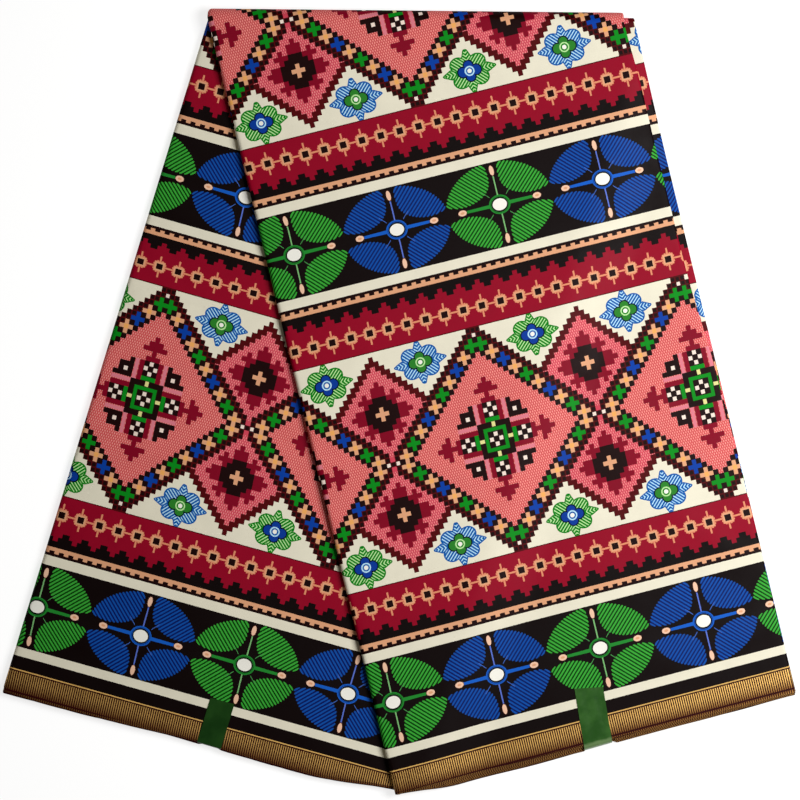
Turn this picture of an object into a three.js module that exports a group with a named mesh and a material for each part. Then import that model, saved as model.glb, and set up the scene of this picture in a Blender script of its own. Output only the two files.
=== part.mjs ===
// A length of wax print cotton, folded for sale: sixteen leaves pressed into one flat pile,
// then laid over a crease into an upturned V. The right flap, the front one, lies on the
// left one. Millimetres, +Z up, the underside on Z = 0.
//
// Every point of the pile has three coordinates of its own:
//   across  0 at the closed edge of the pile, 1 at its open edge
//   run     distance from the crease axis along a flap, or an angle round the crease
//   height  distance from the pile's inner face, the one that ends inside the crease
import * as THREE from 'three';

// ---- Driving sizes -------------------------------------------------------------------
const PILE = 7;            // sixteen leaves pressed together
const WALL = 1;            // wall that stands for one leaf of cloth
const GAP = 0.3;           // room between pieces that touch
const STRIP = 324;         // the pile from its closed edge to its open edge
const CREASE_SWELL = 0.1;  // how much fuller the pile is at the crease
const SWELL_RUN = 30;      // how far from the crease it is fuller
const DROP_START = 6;      // the front flap leaves the back flap this far past its edge
const DROP_RUN = 50;       // and takes this much room to reach the ground
const END_LIFT = 0.8;      // the taped ends ride this much over the ground
const LIFT_RUN = 30;       // over this length
const LIFT_FROM = 76;      // starting this far before the end
const RISER_LEAN = 0.25;   // slope of the step from one leaf end to the next
const END_STEPS = 6;       // leaf ends that show as steps at each selvedge
const END_ROOM = 0.25;     // extra room under the hidden leaves at those steps
const SHOULDER = 0.6;      // rounding of the upper fold group of the hidden leaves
const INNER_SEAM = 0.33;   // share of the turn round the crease where the inner leaf parts

// Corners of the folded cloth as it lies, seen from above.
const CREASE = { left: [-150, 306], right: [183.2, 302.6] };
const FRONT_END = { left: [-4.6, -303.2], right: [309.1, -225.2] };
const BACK_END = { left: [-308.6, -219.2], right: [4, -300.4] };

// How far the longest leaf ends past the shortest one, across each flap.
const FRONT_REACH = [
  { across: 0, reach: 2.4 },
  { across: 0.16, reach: 7.4 },
  { across: 0.5, reach: 7.2 },
  { across: 1, reach: 3.6 },
];
const BACK_REACH = [
  { across: 0, reach: 6.6 },
  { across: 0.45, reach: 8.2 },
  { across: 0.75, reach: 10.6 },
  { across: 1, reach: 6.2 },
];

// How far the lower fold stands out past the upper one at the open edge of the front flap.
const LEDGE = [
  { along: 0, width: 8.6 },
  { along: 0.1, width: 7 },
  { along: 0.35, width: 6.2 },
  { along: 0.56, width: 1.4 },
  { along: 0.7, width: 0.8 },
  { along: 1, width: 0.8 },
];

// The two seal tapes: place across the flap, and length on its face and underneath.
const TAPE = 0.5;          // thickness
const TAPE_BEND = { beyond: 0.55, height: 0.62 };  // where a tape bends down over the steps
const TAPES = {
  front: { from: 0.475, to: 0.543, face: 45, under: 36 },
  back: { from: 0.488, to: 0.548, face: 34, under: 28 },
};

// How finely the faces are cut.
const CUTS = { slope: 6, beside: 4, columns: 14, front: 14, back: 10, turn: 4, arc: 5, tape: 3 };
const LEAST_CELL = 1.5;    // narrowest column of points
const SIDE_ROOM = 3;       // columns start this far in from the round of the closed edge
const OPEN_ROOM = 16;      // and stop this far before the open edge
const END_CROWDING = 0.7;  // how much closer the rows lie at the crease and at the ends

// ---- Small helpers -------------------------------------------------------------------
const mix = THREE.MathUtils.lerp;
const smooth = (value, from, to) => THREE.MathUtils.smoothstep(value, from, to);

// Value of a short table, eased from row to row.
function fromTable(rows, key, value, at) {
  const last = rows.length - 1;
  const next = rows.findIndex((row) => row[key] >= at);
  if (next === 0) return rows[0][value];
  if (next < 0) return rows[last][value];
  const low = rows[next - 1];
  const high = rows[next];
  return mix(low[value], high[value], smooth(at, low[key], high[key]));
}

const steps = (count) => Array.from({ length: count + 1 }, (_, index) => index / count);

// The same, closer together at both ends.
const rowsOf = (count) => steps(count).map((share) =>
  mix(share, (1 - Math.cos(Math.PI * share)) / 2, END_CROWDING));

// ---- The pile's frame ----------------------------------------------------------------
const INNER = GAP / 2;              // height of the pile's inner face
const OUTER = INNER + PILE;         // height of its outer face
const HALF_TURN = Math.PI;
const CORE_IN = INNER + WALL + GAP; // the hidden leaves lie between these two heights
const CORE_OUT = OUTER - WALL - GAP;
const MIDDLE = (INNER + OUTER) / 2;
const EDGE = MIDDLE - INNER;        // radius of the closed edge of the pile
const FOLD = PILE / 4;              // radius of one fold group at the open edge
const SHELF = MIDDLE - GAP / 2;     // the lower fold group ends here

const creaseLeft = new THREE.Vector2(...CREASE.left);
const creaseRight = new THREE.Vector2(...CREASE.right);
const creaseAlong = creaseRight.clone().sub(creaseLeft).normalize();
const creaseOut = new THREE.Vector2(-creaseAlong.y, creaseAlong.x);
const TURN_RADIUS = OUTER * (1 + CREASE_SWELL);

// A point on the axis that the pile turns round.
function axisPoint(across) {
  return creaseLeft.clone().lerp(creaseRight, across).addScaledVector(creaseOut, -TURN_RADIUS);
}

// Straight line that a point of the pile follows from the crease axis to its end.
function runOf(end, across) {
  const start = axisPoint(across);
  const left = new THREE.Vector2(...end.left);
  const stop = left.lerp(new THREE.Vector2(...end.right), across);
  const length = start.distanceTo(stop);
  return { start, direction: stop.sub(start).normalize(), length };
}

// How much fuller the pile is here, for being close to the crease.
function swell(place) {
  const away = place.clone().sub(axisPoint(0)).dot(creaseOut) / SWELL_RUN;
  return 1 + CREASE_SWELL * Math.exp(-away * away);
}

// Open edge of the back flap, which the front flap drops off.
const backEdge = runOf(BACK_END, 1);
const offEdge = new THREE.Vector2(-backEdge.direction.y, backEdge.direction.x);

// Distance past the open edge of the back flap.
const pastEdge = (place) => place.clone().sub(backEdge.start).dot(offEdge);

// How far the end of a flap is lifted by its tape.
const liftAt = (before) => END_LIFT * smooth(-before, -LIFT_FROM, LIFT_RUN - LIFT_FROM);

// Distance from a place to the end line of a flap.
function beforeEnd(end, place) {
  const left = new THREE.Vector2(...end.left);
  const line = new THREE.Vector2(...end.right).sub(left).normalize();
  return place.clone().sub(left).dot(new THREE.Vector2(-line.y, line.x));
}

// Level of the crease axis, carried out over the whole back flap.
function axisLevel(place) {
  return OUTER * swell(place) + liftAt(beforeEnd(BACK_END, place));
}

// Level that the front flap's inner face lies at: on the back flap, or on the ground.
function frontLevel(place) {
  const drop = smooth(pastEdge(place), DROP_START, DROP_START + DROP_RUN);
  const ground = liftAt(beforeEnd(FRONT_END, place)) - INNER;
  return mix(axisLevel(place), ground, drop);
}

function frontPoint(across, run, height) {
  const line = runOf(FRONT_END, across);
  const place = line.start.addScaledVector(line.direction, run);
  return new THREE.Vector3(place.x, place.y, frontLevel(place) + height * swell(place));
}

function backPoint(across, run, height) {
  const line = runOf(BACK_END, across);
  const place = line.start.addScaledVector(line.direction, run);
  return new THREE.Vector3(place.x, place.y, axisLevel(place) - height * swell(place));
}

function turnPoint(across, angle, height) {
  const axis = axisPoint(across);
  const radius = height * (1 + CREASE_SWELL);
  axis.addScaledVector(creaseOut, radius * Math.sin(angle));
  const level = TURN_RADIUS + radius * Math.cos(angle);
  return new THREE.Vector3(axis.x, axis.y, level);
}

// How far a leaf at this height ends past the outermost leaf.
const reachAt = (table, across, height) =>
  fromTable(table, 'across', 'reach', across) * (1 - height / OUTER);

// ---- Stations: places along the pile where its section is drawn ------------------------
// A station places a section point, and says how wide the ledge is there.
function frontStation(part) {
  const place = (across, height) => {
    const run = runOf(FRONT_END, across).length;
    return frontPoint(across, part * (run + reachAt(FRONT_REACH, across, height)), height);
  };
  return { place, ledge: fromTable(LEDGE, 'along', 'width', part), onFront: true };
}

function backStation(part) {
  const place = (across, height) => {
    const run = runOf(BACK_END, across).length;
    return backPoint(across, part * (run + reachAt(BACK_REACH, across, height)), height);
  };
  return { place, ledge: LEDGE[0].width, onFront: false };
}

function turnStation(part) {
  const place = (across, height) => turnPoint(across, part * HALF_TURN, height);
  return { place, ledge: LEDGE[0].width, onFront: false };
}

// Columns of points across the pile, shared by all its leaves. On the front flap some of
// them run beside the edge that the flap drops off, so that the slope is cut along its length.
function columnsOf({ place, onFront }) {
  const from = EDGE + SIDE_ROOM;
  const to = STRIP - OPEN_ROOM;
  if (!onFront) return steps(CUTS.columns).map((share) => mix(from, to, share));
  const pastAt = (across) => {
    const point = place(across, 0);
    return pastEdge(new THREE.Vector2(point.x, point.y));
  };
  const scale = STRIP / (pastAt(1) - pastAt(0));
  const edge = (past) => (past - pastAt(0)) * scale;
  const slope = steps(CUTS.slope).map((share) => edge(DROP_START + DROP_RUN * share));
  const before = steps(CUTS.beside).slice(0, -1).map((share) => mix(from, slope[0], share));
  const after = steps(CUTS.beside).slice(1).map((share) => mix(slope[CUTS.slope], to, share));
  const wanted = [...before, ...slope, ...after];
  const last = wanted.length - 1;
  return wanted.map((at, index) => {
    const least = from + index * LEAST_CELL;
    const most = to - (last - index) * LEAST_CELL;
    return THREE.MathUtils.clamp(at, least, most);
  });
}

// ---- Sections: lists of [millimetres across, height] -----------------------------------
// Arc from one angle to another, angles in quarter turns from straight out of the pile.
function arc(centreX, centreH, radiusX, radiusH, from, to) {
  return steps(CUTS.arc).map((share) => {
    const angle = mix(from, to, share) * HALF_TURN / 2;
    return [centreX + radiusX * Math.sin(angle), centreH + radiusH * Math.cos(angle)];
  });
}

// Face that a leaf at the outer side follows: closed edge, face, upper fold at the open edge.
function outerLeafPath(station, inset) {
  const right = STRIP - station.ledge;
  const flat = columnsOf(station).map((at) => [at, OUTER - inset]);
  const closed = arc(EDGE, MIDDLE, EDGE - inset, EDGE - inset, -2, 0);
  const open = arc(right - FOLD, OUTER - FOLD, FOLD - inset, FOLD - inset, 0, 1);
  const foot = [right - inset, SHELF + GAP * 2];
  return [...closed, ...flat, ...open, foot];
}

// Closed edge and inner face: what shows on top of the back flap.
function innerLeafPath(station, inset) {
  const flat = columnsOf(station).map((at) => [at, INNER + inset]);
  const closed = arc(EDGE, MIDDLE, EDGE - inset, EDGE - inset, 0, -2);
  return [...closed, ...flat, [STRIP - WALL, INNER + inset]];
}

// Leaf on the other side of a flap, between the closed edge and the open edge.
function flatLeafPath(station, height, inFromOpen) {
  const right = STRIP - inFromOpen;
  return [EDGE + GAP, ...columnsOf(station), right].map((at) => [at, height]);
}

// Lower fold at the open edge of the front flap, which shows as a ledge.
function ledgePath(station, inset) {
  const top = SHELF - inset;
  const centre = (INNER + SHELF) / 2;
  const radius = centre - INNER;
  const start = [STRIP - station.ledge - WALL - GAP / 2, top];
  const bend = arc(STRIP - radius, centre, radius - inset, radius - inset, 0, 2);
  return [start, ...bend];
}

// All the hidden leaves: a rounded closed edge, and two fold groups at the open edge.
function coreSection({ ledge, top, bottom, ...station }) {
  const shelf = SHELF - WALL - GAP;
  const half = (shelf - bottom) / 2;
  const lowFold = STRIP - (SHELF - INNER) / 2;
  const upper = STRIP - ledge - WALL - GAP - GAP / 2;
  const round = Math.min(SHOULDER, (top - shelf) / 3);
  const middle = (top + bottom) / 2;
  const tall = (top - bottom) / (CORE_OUT - CORE_IN);
  const radius = (EDGE - WALL - GAP) * (1 + tall) / 2;
  const closed = arc(EDGE, middle, radius, (top - bottom) / 2, -2, 0);
  const columns = columnsOf(station);
  const face = columns.map((at) => [at, top]);
  const under = columns.toReversed().map((at) => [at, bottom]);
  const shoulder = [[upper - round, top], [upper, top - round], [upper, shelf]];
  const nose = [[lowFold, shelf], [lowFold + half, bottom + half], [lowFold, bottom]];
  return [...closed, ...face, ...shoulder, ...nose, ...under];
}

// ---- Solids ----------------------------------------------------------------------------
// Sum of the tetrahedra under each triangle: negative when the faces point inwards.
function signedVolume(points, faces) {
  return faces.reduce((sum, [a, b, c]) => {
    const normal = new THREE.Vector3().crossVectors(points[b], points[c]);
    return sum + points[a].dot(normal) / 6;
  }, 0);
}

function solidFrom(points, faces) {
  const outward = signedVolume(points, faces) > 0;
  const turned = outward ? faces : faces.map(([a, b, c]) => [a, c, b]);
  const geometry = new THREE.BufferGeometry();
  geometry.setAttribute('position', new THREE.Float32BufferAttribute(
    points.flatMap((point) => point.toArray()), 3));
  geometry.setIndex(turned.flat());
  geometry.computeVertexNormals();
  return geometry;
}

// Two triangles for each cell between closed rings of points, cut along the shorter way,
// so that leaves that lie on each other are cut alike.
function ringFaces(points, rows, size) {
  const faces = [];
  for (let row = 0; row < rows - 1; row += 1) {
    for (let column = 0; column < size; column += 1) {
      const next = (column + 1) % size;
      const a = row * size + column;
      const b = row * size + next;
      const c = b + size;
      const d = a + size;
      const shorter = points[a].distanceTo(points[c]) <= points[b].distanceTo(points[d]);
      if (shorter) faces.push([a, b, c], [a, c, d]);
      else faces.push([a, b, d], [b, c, d]);
    }
  }
  return faces;
}

// Triangles that fill an upright ring, wound the way the ring runs.
function capFaces(ring) {
  const contour = ring.map((point) => new THREE.Vector2(point.x, point.z));
  const runsBack = THREE.ShapeUtils.isClockWise(contour);
  return THREE.ShapeUtils.triangulateShape(contour, []).map(([a, b, c]) => {
    const triangle = [contour[a], contour[b], contour[c]];
    const same = THREE.ShapeUtils.isClockWise(triangle) === runsBack;
    return same ? [a, b, c] : [a, c, b];
  });
}

// A tube of closed sections, with flat ends.
function tubeSolid(rings) {
  const points = rings.flat();
  const size = rings[0].length;
  const faces = ringFaces(points, rings.length, size);
  const lastRow = (rings.length - 1) * size;
  capFaces(rings[0]).forEach(([a, b, c]) => faces.push([c, b, a]));
  capFaces(rings[rings.length - 1]).forEach(([a, b, c]) => {
    faces.push([lastRow + a, lastRow + b, lastRow + c]);
  });
  return solidFrom(points, faces);
}

// A wall between two matching grids of points.
function wallSolid(outerRows, innerRows) {
  const rings = outerRows.map((row, index) => [...row, ...innerRows[index].toReversed()]);
  const size = rings[0].length;
  const half = size / 2;
  const points = rings.flat();
  const faces = ringFaces(points, rings.length, size);
  const lastRow = (rings.length - 1) * size;
  for (let column = 0; column < half - 1; column += 1) {
    const across = size - 1 - column;
    const quad = [column, column + 1, across - 1, across];
    faces.push([quad[2], quad[1], quad[0]], [quad[3], quad[2], quad[0]]);
    const end = quad.map((index) => lastRow + index);
    faces.push([end[0], end[1], end[2]], [end[0], end[2], end[3]]);
  }
  return solidFrom(points, faces);
}

// Wall that follows a section path along a row of stations.
function sweptWall(stations, pathAt) {
  const rowsAt = (inset) => stations.map((station) =>
    pathAt(station, inset).map(([at, height]) => station.place(at / STRIP, height)));
  return wallSolid(rowsAt(0), rowsAt(WALL));
}

// ---- The hidden leaves -----------------------------------------------------------------
// The steps at an end: each one a riser that leans a little and a short tread.
function endStations(table, point, end, station) {
  const stepAt = (step, lean, top) => {
    const shortest = mix(CORE_OUT, MIDDLE - WALL, step / (END_STEPS - 1));
    const place = (across, height) => {
      const run = runOf(end, across).length + reachAt(table, across, shortest) - lean;
      return point(across, run, height);
    };
    return { ...station, place, top, bottom: CORE_IN + END_ROOM };
  };
  return Array.from({ length: END_STEPS }, (_, step) => {
    const top = mix(CORE_OUT, MIDDLE - WALL, step / (END_STEPS - 1));
    const tread = stepAt(step, RISER_LEAN, top);
    return step === 0 ? [tread] : [stepAt(step - 1, 0, top), tread];
  }).flat();
}

function coreSolid() {
  const frontSteps = endStations(FRONT_REACH, frontPoint, FRONT_END, frontStation(1));
  const backSteps = endStations(BACK_REACH, backPoint, BACK_END, backStation(1));
  const plain = [
    ...rowsOf(CUTS.front).slice(0, -1).reverse().map(frontStation),
    ...steps(CUTS.turn * 2).slice(1, -1).map(turnStation),
    ...rowsOf(CUTS.back).slice(0, -1).map(backStation),
  ].map((station) => ({ ...station, top: CORE_OUT, bottom: CORE_IN }));
  return tubeSolid([...frontSteps.reverse(), ...plain, ...backSteps].map((station) =>
    coreSection(station).map(([at, height]) => station.place(at / STRIP, height))));
}

// ---- The leaves that show --------------------------------------------------------------
// The outer leaf is parted at the middle of the crease, and the inner one a little before.
const SEAM = GAP / 2 / TURN_RADIUS / HALF_TURN;
const turnFrom = (from, to) => steps(CUTS.turn).slice(0, -1).map((share) =>
  turnStation(mix(from, to, share)));
const frontRows = rowsOf(CUTS.front).map(frontStation);
const frontRun = [...turnFrom(0.5 - SEAM, 0), ...frontRows];
const frontInnerRun = [...turnFrom(INNER_SEAM, 0), ...frontRows];
const backRun = [...turnFrom(0.5 + SEAM, 1), ...rowsOf(CUTS.back).map(backStation)];

// ---- The seal tapes --------------------------------------------------------------------
// A tape lies on the face, turns down over the steps and runs back underneath.
function tapeSolid(tape, end, table, point) {
  const strands = steps(CUTS.tape).map((share) => mix(tape.from, tape.to, share));
  const pathAt = (across, out) => {
    const length = runOf(end, across).length;
    const reach = reachAt(table, across, 0);
    const face = OUTER + GAP + out;
    const under = INNER - GAP - out;
    const tip = length + reach + GAP * 2 + out;
    const bend = length + reach * TAPE_BEND.beyond + GAP + out;
    return [
      ...steps(CUTS.tape).map((share) => [length - tape.face * (1 - share), face]),
      [bend, OUTER * TAPE_BEND.height],
      [tip, INNER + WALL],
      [tip, under],
      [length, under],
      [length - tape.under, under],
    ].map(([run, height]) => point(across, run, height));
  };
  const pathsAt = (out) => strands.map((across) => pathAt(across, out));
  return wallSolid(pathsAt(TAPE), pathsAt(0));
}

// ---- The scene graph -------------------------------------------------------------------
const paint = (color, roughness) =>
  new THREE.MeshStandardMaterial({ color, roughness, metalness: 0 });
const finishes = {
  face: paint(0x8c1a2b, 0.72),
  inside: paint(0x571019, 0.8),
  hidden: paint(0x2b1a1b, 0.85),
  tape: paint(0x1f5f39, 0.3),
};

const cloth = new THREE.Group();
function add(name, geometry, finish) {
  const mesh = new THREE.Mesh(geometry, finish);
  mesh.name = name;
  cloth.add(mesh);
}

add('hidden_leaves', coreSolid(), finishes.hidden);
add('front_leaf', sweptWall(frontRun, outerLeafPath), finishes.face);
add('front_under_leaf', sweptWall(frontInnerRun, (station, inset) =>
  flatLeafPath(station, INNER + inset, FOLD + GAP)), finishes.inside);
add('ledge_leaf', sweptWall(frontRun, ledgePath), finishes.face);
add('back_leaf', sweptWall(backRun, innerLeafPath), finishes.face);
add('back_under_leaf', sweptWall(backRun, (station, inset) =>
  flatLeafPath(station, OUTER - inset, station.ledge)), finishes.inside);
add('front_tape', tapeSolid(TAPES.front, FRONT_END, FRONT_REACH, frontPoint), finishes.tape);
add('back_tape', tapeSolid(TAPES.back, BACK_END, BACK_REACH, backPoint), finishes.tape);

export default cloth;
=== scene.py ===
# %% [markdown]
# # A folded length of wax print cotton
#
# Six yards of printed cotton are sold folded: the cloth is halved four times, until
# sixteen leaves lie in one flat pile, and the pile is then laid over a crease into an
# upturned V. Both bottom ends are selvedges, the woven edges of the cloth, and a strip
# of green film seals each of them.
#
# The solids of this object are already there, so the first step is to load them.

# %% Load the frame
import math

import bpy
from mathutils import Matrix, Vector


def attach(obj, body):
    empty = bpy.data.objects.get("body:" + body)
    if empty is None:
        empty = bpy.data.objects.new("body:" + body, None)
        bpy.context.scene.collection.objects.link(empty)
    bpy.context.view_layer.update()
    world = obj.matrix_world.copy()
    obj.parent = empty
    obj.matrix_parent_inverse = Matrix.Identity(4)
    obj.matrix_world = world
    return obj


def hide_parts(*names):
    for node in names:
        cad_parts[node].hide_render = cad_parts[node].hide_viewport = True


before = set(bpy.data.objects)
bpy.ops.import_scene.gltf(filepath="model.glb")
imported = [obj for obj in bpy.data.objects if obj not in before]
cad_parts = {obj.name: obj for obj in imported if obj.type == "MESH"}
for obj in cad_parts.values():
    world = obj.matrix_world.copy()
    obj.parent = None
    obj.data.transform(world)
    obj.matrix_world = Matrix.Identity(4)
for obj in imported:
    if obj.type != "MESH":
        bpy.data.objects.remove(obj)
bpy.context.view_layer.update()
MM = 0.001  # Blender works in metres, and the sizes below are millimetres

# %% [markdown]
# ## Camera
#
# The cloth is looked at from straight above, from far away through a long lens, so that
# the picture has hardly any perspective. The camera comes first: everything after it can
# be judged in the same picture.

# %% Camera
VIEW_WIDTH = 624  # what the picture takes in, at the height of the cloth
LENS = 135
SENSOR = 36
CLOTH_LEVEL = 10
CAMERA_UP = 0.4  # from the middle towards the crease

camera = bpy.data.objects.new("camera", bpy.data.cameras.new("camera"))
bpy.context.scene.collection.objects.link(camera)
camera.data.lens = LENS
camera.data.sensor_width = SENSOR
distance = VIEW_WIDTH * LENS / SENSOR
camera.location = (0, CAMERA_UP * MM, (CLOTH_LEVEL + distance) * MM)
bpy.context.scene.camera = camera
print("camera is", round(distance), "mm over the cloth")

# %% [markdown]
# ## The pile's own coordinates
#
# A folded pile is easy to describe from within. Each point has a place *across* the pile
# (0 at the closed edge, 1 at the open edge), a share of the way down a flap, and a
# *height* from the pile's inner face, the one that ends up inside the crease. The three
# legs of the pile are the front flap, the turn at the crease, and the back flap.

# %% Driving sizes, in millimetres
PILE = 7.0  # sixteen leaves pressed together
LEAVES = 16
LEAF = 0.4  # one leaf of cotton
GAP = 0.3
STRIP = 324.0  # the pile from its closed edge to its open edge
CREASE_SWELL, SWELL_RUN = 0.1, 30.0  # the pile is fuller near the crease
DROP_START, DROP_RUN = 6.0, 50.0  # where the front flap drops off the back flap
END_LIFT, LIFT_RUN, LIFT_FROM = 0.8, 30.0, 76.0  # the taped ends ride a little high

CREASE = (Vector((-150.0, 306.0)), Vector((183.2, 302.6)))
FRONT_END = (Vector((-4.6, -303.2)), Vector((309.1, -225.2)))
BACK_END = (Vector((-308.6, -219.2)), Vector((4.0, -300.4)))

# How far the longest leaf ends past the shortest one: (share across the flap, reach).
FRONT_REACH = ((0, 2.4), (0.16, 7.4), (0.42, 6.9), (0.62, 5.3), (1, 3.0))
BACK_REACH = ((0, 6.8), (0.2, 7.4), (0.4, 6.5), (0.76, 9.2), (1, 3.2))
# How far the lower folds stand out past the upper ones: (share down the flap, width).
LEDGE = ((0, 8.6), (0.1, 7), (0.35, 6.2), (0.56, 1.4), (0.7, 0.8), (1, 0.8))

INNER = GAP / 2
OUTER = INNER + PILE
MIDDLE = (INNER + OUTER) / 2
EDGE = MIDDLE - INNER  # radius of the closed edge
FOLD = PILE / 4  # radius of a group of folds at the open edge
PITCH = PILE / LEAVES
TURN_RADIUS = OUTER * (1 + CREASE_SWELL)
print("one leaf takes", PITCH, "mm of the pile")


# %% Small helpers
def mix(start, stop, share):
    return start + (stop - start) * share


def smooth(value, low, high):
    share = min(max((value - low) / (high - low), 0), 1)
    return share * share * (3 - 2 * share)


def from_table(rows, at):
    """Value of a short table of pairs, eased from row to row."""
    for (low, first), (high, second) in zip(rows, rows[1:]):
        if at <= high:
            return mix(first, second, smooth(at, low, high))
    return rows[-1][1]


# %% The crease axis and the straight lines down each flap
crease_along = (CREASE[1] - CREASE[0]).normalized()
crease_out = Vector((-crease_along.y, crease_along.x))


def axis_point(across):
    return CREASE[0] + (CREASE[1] - CREASE[0]) * across - crease_out * TURN_RADIUS


def flap_line(end, across):
    """Start, direction and length of the line down a flap at one place across it."""
    start = axis_point(across)
    way = end[0] + (end[1] - end[0]) * across - start
    return start, way.normalized(), way.length


def mirrored(place):
    """The same place seen in the crease axis, as when the fold is opened out."""
    return place + crease_out * 2 * (axis_point(0) - place).dot(crease_out)


BACK_OPEN = flap_line(BACK_END, 1)
off_open_edge = Vector((-BACK_OPEN[1].y, BACK_OPEN[1].x))
FRONT_CLOSED = flap_line(FRONT_END, 0)
off_front = Vector((FRONT_CLOSED[1].y, -FRONT_CLOSED[1].x))
print("front flap's closed edge is", round(FRONT_CLOSED[2]), "mm long")


# %% Levels: how high each leg lies
def swell(place):
    away = (place - axis_point(0)).dot(crease_out) / SWELL_RUN
    return 1 + CREASE_SWELL * math.exp(-away * away)


def before_end(end, place):
    line = (end[1] - end[0]).normalized()
    return (place - end[0]).dot(Vector((-line.y, line.x)))


def lift(end, place):
    return END_LIFT * smooth(-before_end(end, place), -LIFT_FROM, LIFT_RUN - LIFT_FROM)


def axis_level(place):
    return OUTER * swell(place) + lift(BACK_END, place)


def front_level(place):
    past = (place - BACK_OPEN[0]).dot(off_open_edge)
    drop = smooth(past, DROP_START, DROP_START + DROP_RUN)
    return mix(axis_level(place), lift(FRONT_END, place) - INNER, drop)


# %% [markdown]
# ## Creases
#
# Pressed cotton is never quite flat. It keeps faint ridges and troughs from its handling.
# Each one below is given as a line from one point to another with its own width
# and depth, and fades out at both ends. The top leaf has them in full, and the leaves
# under it less and less, so that no leaf cuts through another.

# %% Creases: x, y, x, y, width, height (a trough is below zero)
FRONT_CREASES = (
    (-120, 262, 40, 214, 15, 0.35),
    (20, 286, 175, 262, 11, -0.4),
    (-96, 236, 96, 252, 9, 0.25),
    (118, 230, 205, 150, 14, 0.4),
    (-70, 120, 60, 158, 18, -0.35),
    (60, 96, 190, 122, 12, 0.3),
    (-40, 40, 20, -60, 20, 0.45),
    (150, 60, 246, -20, 13, -0.45),
    (40, -36, 150, -10, 16, 0.35),
    (10, -140, 120, -96, 22, -0.35),
    (196, -70, 286, -140, 12, 0.5),
    (232, -160, 300, -128, 10, -0.4),
    (30, -236, 110, -196, 14, 0.35),
    (150, -180, 236, -214, 12, 0.3),
    (262, -190, 292, -168, 9, 0.5),
)
BACK_CREASES = (
    (-158, 250, -130, 170, 10, -0.4),
    (-176, 150, -116, 120, 14, 0.4),
    (-200, 60, -120, 84, 12, -0.3),
    (-230, -20, -130, -50, 16, 0.45),
    (-262, -110, -190, -84, 10, 0.5),
    (-180, -130, -70, -160, 18, -0.35),
    (-284, -176, -226, -190, 9, 0.55),
    (-150, -232, -60, -206, 13, 0.35),
)
UNDER_CREASES = (
    (-90, 200, 20, 120, 14, 0.4),
    (60, 20, 190, -30, 16, 0.35),
    (80, -150, 230, -110, 12, 0.4),
    (-230, -60, -120, -110, 14, 0.4),
    (-190, 90, -110, 30, 12, 0.3),
    (-170, -200, -60, -240, 10, 0.35),
)


def crease_relief(creases, place):
    total = 0
    for x0, y0, x1, y1, width, height in creases:
        start = Vector((x0, y0))
        way = Vector((x1, y1)) - start
        along = (place - start).dot(way) / way.length_squared
        if -0.3 < along < 1.3:
            off = (place - start - way * along).length / width
            if off < 3:
                ends = smooth(along, -0.3, 0.3) * (1 - smooth(along, 0.7, 1.3))
                total += height * ends * math.exp(-off * off)
    return total


def slow_waves(place, size):
    """Long shallow waves, as in any cloth that was pressed by hand."""
    x, y = place
    waves = math.sin(x / 47 + y / 83 + 0.7) + 0.7 * math.sin(y / 31 - x / 120 + 2.1)
    return size * (waves + 0.5 * math.sin(x / 23 - y / 40 + 4.0))


# %% Where a point of the pile lies
WAVES = 0.16


def front_spot(share, across, height):
    start, way, length = flap_line(FRONT_END, across)
    reach = from_table(FRONT_REACH, across) * (1 - height / OUTER)
    place = start + way * share * (length + reach)
    top = height / OUTER
    relief = crease_relief(FRONT_CREASES, place) + slow_waves(place, WAVES)
    under = max(0, crease_relief(UNDER_CREASES, place)) * (1 - top)
    fade = smooth(share, 0.0, 0.06) * (1 - smooth(share, 0.93, 1.0))
    level = front_level(place) + height * swell(place) + (relief * top + under) * fade
    return place, level


def back_spot(share, across, height):
    start, way, length = flap_line(BACK_END, across)
    reach = from_table(BACK_REACH, across) * (1 - height / OUTER)
    place = start + way * share * (length + reach)
    shown = smooth((place - FRONT_CLOSED[0]).dot(off_front), 2, 30)
    relief = crease_relief(BACK_CREASES, place) + slow_waves(place, WAVES)
    under = max(0, crease_relief(UNDER_CREASES, place)) * height / OUTER
    fade = smooth(share, 0.02, 0.1) * (1 - smooth(share, 0.93, 1.0))
    top = (1 - height / OUTER) * shown
    level = axis_level(place) - height * swell(place) + (relief * top + under) * fade
    return place, level


def turn_spot(share, across, height):
    angle = share * math.pi
    radius = height * (1 + CREASE_SWELL)
    place = axis_point(across) + crease_out * radius * math.sin(angle)
    return place, TURN_RADIUS + radius * math.cos(angle)


SPOTS = {"front": front_spot, "turn": turn_spot, "back": back_spot}
print("legs of the pile:", ", ".join(SPOTS))

# %% [markdown]
# ## Where the print falls
#
# The design has to follow the cloth round its folds, so each point of a leaf is given its
# place on the unrolled cloth: U along the stripes and V up from the selvedge. Where a
# leaf goes over the crease it is opened out by mirroring it in the crease axis. Both
# flaps show the same design, turned by half a turn on the back flap.

# %% Print coordinates
CLOTH_WIDTH = 1207.4  # selvedge to selvedge
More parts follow.
